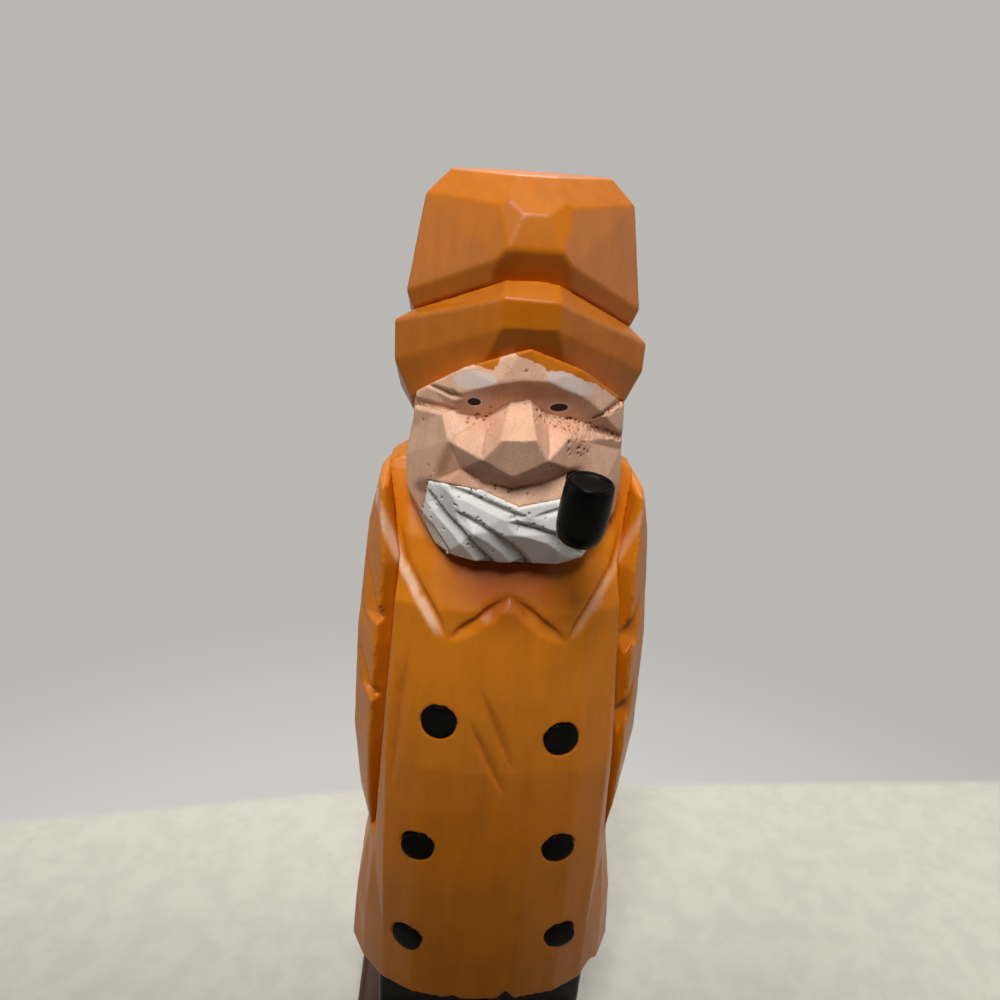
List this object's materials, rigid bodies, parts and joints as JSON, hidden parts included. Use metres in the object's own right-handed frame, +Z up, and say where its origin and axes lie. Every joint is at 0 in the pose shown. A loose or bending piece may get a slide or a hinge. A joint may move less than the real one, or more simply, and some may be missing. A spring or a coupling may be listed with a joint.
{
  "type": "carved wooden sailor figure",
  "caption": "Knife-carved wooden fisherman in a tall sou'wester and double-breasted oilskin coat, hands in pockets, with a beard and a turning pipe, on a small base.",
  "frame": {"origin": "on the flat underside of the base, below the middle of the figure's body", "axes": "+Z up along the figure, -Y the way it faces, +X towards its left hand"},
  "size_m": [0.0737, 0.0677, 0.2511],
  "materials": {
    "oilskin_orange": "satin orange paint on knife-cut wood",
    "skin": "matt to satin flesh-coloured paint on knife-cut wood, with painted eyes and brows",
    "beard_white": "matt white paint on knife-cut wood",
    "gloss_black": "gloss black paint on wood",
    "base_brown": "dark red-brown stain on wood",
    "bare_wood": "unpainted turned dowel"
  },
  "bodies": {
    "figure": {"base": "base_brown", "beard": "beard_white", "boot_left": "gloss_black", "boot_right": "gloss_black", "button_lower_left": "gloss_black", "button_lower_right": "gloss_black", "button_middle_left": "gloss_black", "button_middle_right": "gloss_black", "button_upper_left": "gloss_black", "button_upper_right": "gloss_black", "coat": "oilskin_orange", "hat_brim": "oilskin_orange", "hat_crown": "oilskin_orange", "hat_peg": "bare_wood", "head": "skin", "leg_peg_left": "bare_wood", "leg_peg_right": "bare_wood", "neck_peg": "bare_wood", "sleeve_left": "oilskin_orange", "sleeve_right": "oilskin_orange"},
    "pipe": {"pipe_bowl": "gloss_black", "pipe_stem": "gloss_black"}
  },
  "joints": [
    {"name": "pipe_turn", "type": "hinge", "parent": "figure", "child": "pipe", "pos_m": [0.0103, -0.02092, 0.1977], "axis": [0, -0.9859, -0.1676], "continuous": true}
  ]
}
